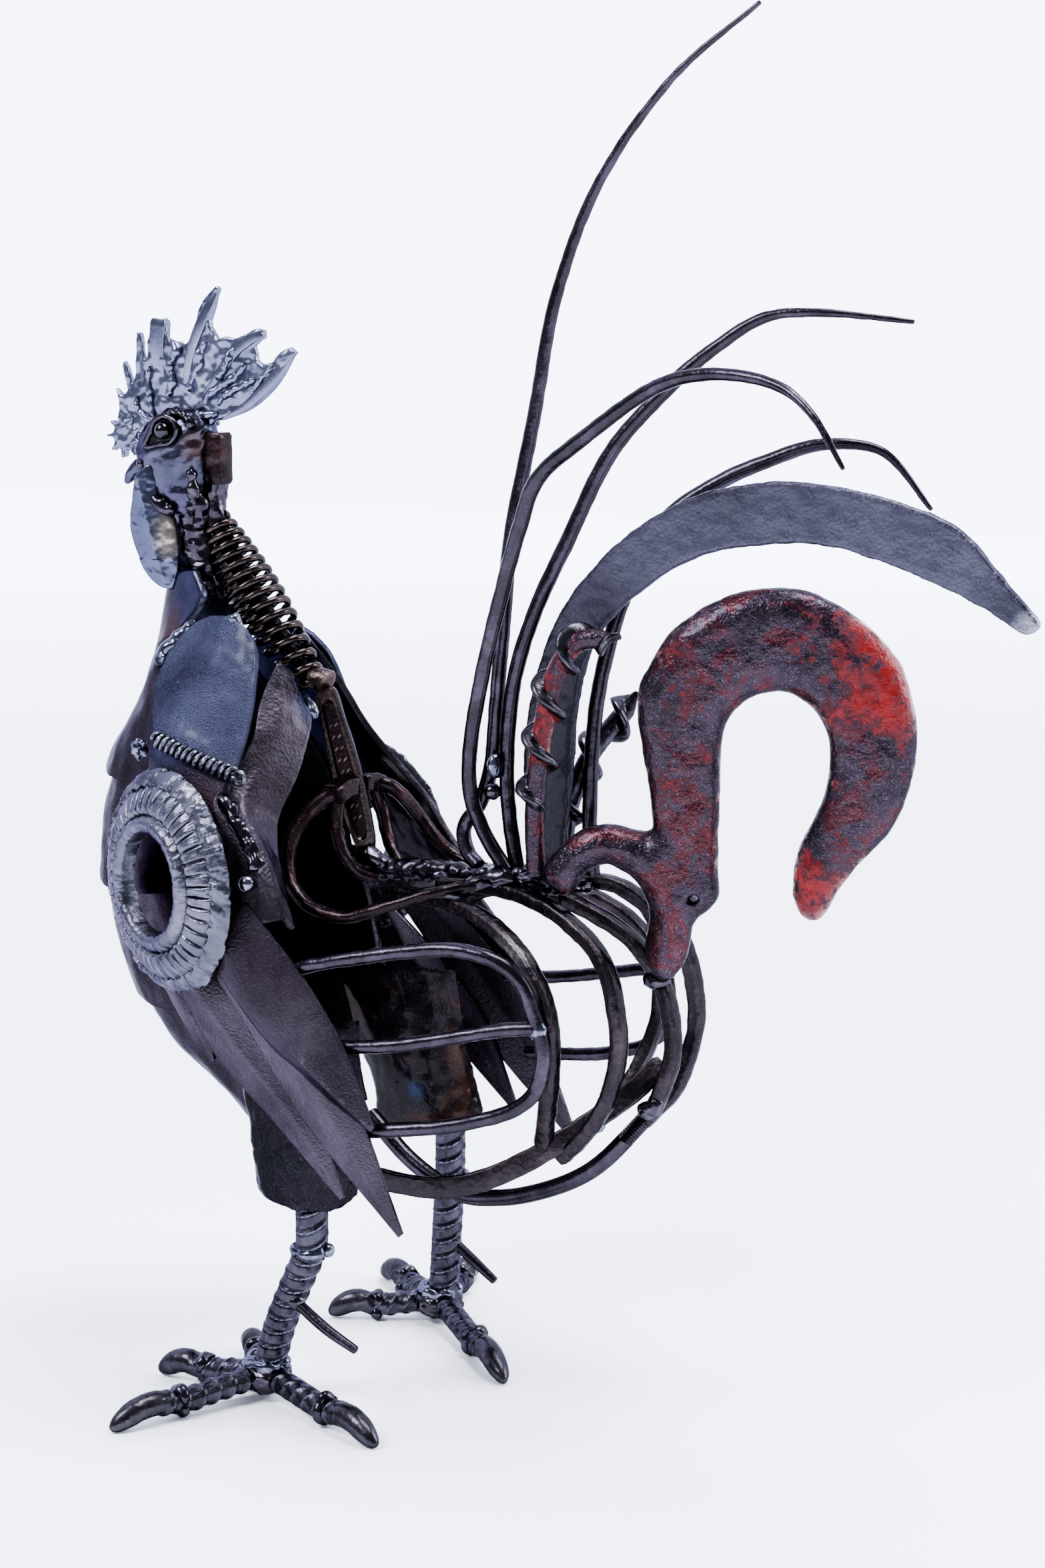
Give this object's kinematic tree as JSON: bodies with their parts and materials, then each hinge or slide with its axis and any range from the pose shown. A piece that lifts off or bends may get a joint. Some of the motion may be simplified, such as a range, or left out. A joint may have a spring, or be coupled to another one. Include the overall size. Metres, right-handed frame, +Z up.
{
  "type": "scrap metal rooster sculpture",
  "caption": "Standing rooster welded from scrap tools, bent tines, a coil spring, cut plate, ribbed wheels and a cast hook, on two clawed feet of ribbed bar.",
  "frame": {"origin": "on the ground, under the middle of the bounding box", "axes": "-X the way the beak points, +X towards the tail, -Y the bird's left side, +Z up"},
  "size_m": [0.5269, 0.2954, 0.702],
  "materials": {
    "bare_steel": "bare welded and wire-brushed steel, clear coated",
    "blackened_steel": "hot, hammered and lacquered dark steel with a purple-blue sheen",
    "cast_iron": "grey cast metal with small paint specks",
    "rusty_steel": "brown rust-tinted steel under clear lacquer",
    "spring_steel": "copper-brown spring wire",
    "red_cast": "worn red paint over dark cast metal",
    "red_steel": "worn bright red paint over steel"
  },
  "bodies": {
    "root": {"auger_left": "red_steel", "auger_right": "blackened_steel", "back_bar": "blackened_steel", "back_wrench": "rusty_steel", "beak": "bare_steel", "belly_plate": "blackened_steel", "belly_rod": "blackened_steel", "belly_tine": "blackened_steel", "breast_plate_lower_left": "blackened_steel", "breast_plate_lower_right": "blackened_steel", "breast_plate_middle_left": "blackened_steel", "breast_plate_middle_right": "blackened_steel", "breast_plate_upper_left": "blackened_steel", "breast_plate_upper_right": "blackened_steel", "comb": "bare_steel", "eye_left": "bare_steel", "eye_right": "bare_steel", "foot_left": "bare_steel", "foot_right": "bare_steel", "handle_left": "rusty_steel", "handle_right": "rusty_steel", "hook": "red_cast", "leg_left": "bare_steel", "leg_right": "bare_steel", "nape_bar": "rusty_steel", "neck_core": "blackened_steel", "neck_plate_left": "blackened_steel", "neck_plate_right": "blackened_steel", "neck_spring": "spring_steel", "rib_left_inner": "blackened_steel", "rib_left_outer": "blackened_steel", "rib_middle": "blackened_steel", "rib_right_inner": "blackened_steel", "rib_right_outer": "blackened_steel", "shoulder_disc_left": "cast_iron", "shoulder_disc_right": "cast_iron", "shoulder_plate_left": "blackened_steel", "shoulder_plate_right": "blackened_steel", "sickle": "blackened_steel", "skull": "bare_steel", "tail_rod_far": "blackened_steel", "tail_rod_near": "blackened_steel", "tail_rod_tall": "blackened_steel", "tail_rod_upper": "blackened_steel", "thigh_left": "blackened_steel", "thigh_right": "rusty_steel", "throat_plate": "bare_steel", "wattle_left": "bare_steel", "wattle_right": "bare_steel", "wing_blade_1_left": "blackened_steel", "wing_blade_1_right": "blackened_steel", "wing_blade_2_left": "blackened_steel", "wing_blade_2_right": "blackened_steel", "wing_blade_3_left": "blackened_steel", "wing_blade_3_right": "blackened_steel", "wing_blade_4_left": "blackened_steel", "wing_blade_4_right": "blackened_steel", "wing_fork_left": "blackened_steel", "wing_fork_right": "blackened_steel"}
  },
  "joints": []
}
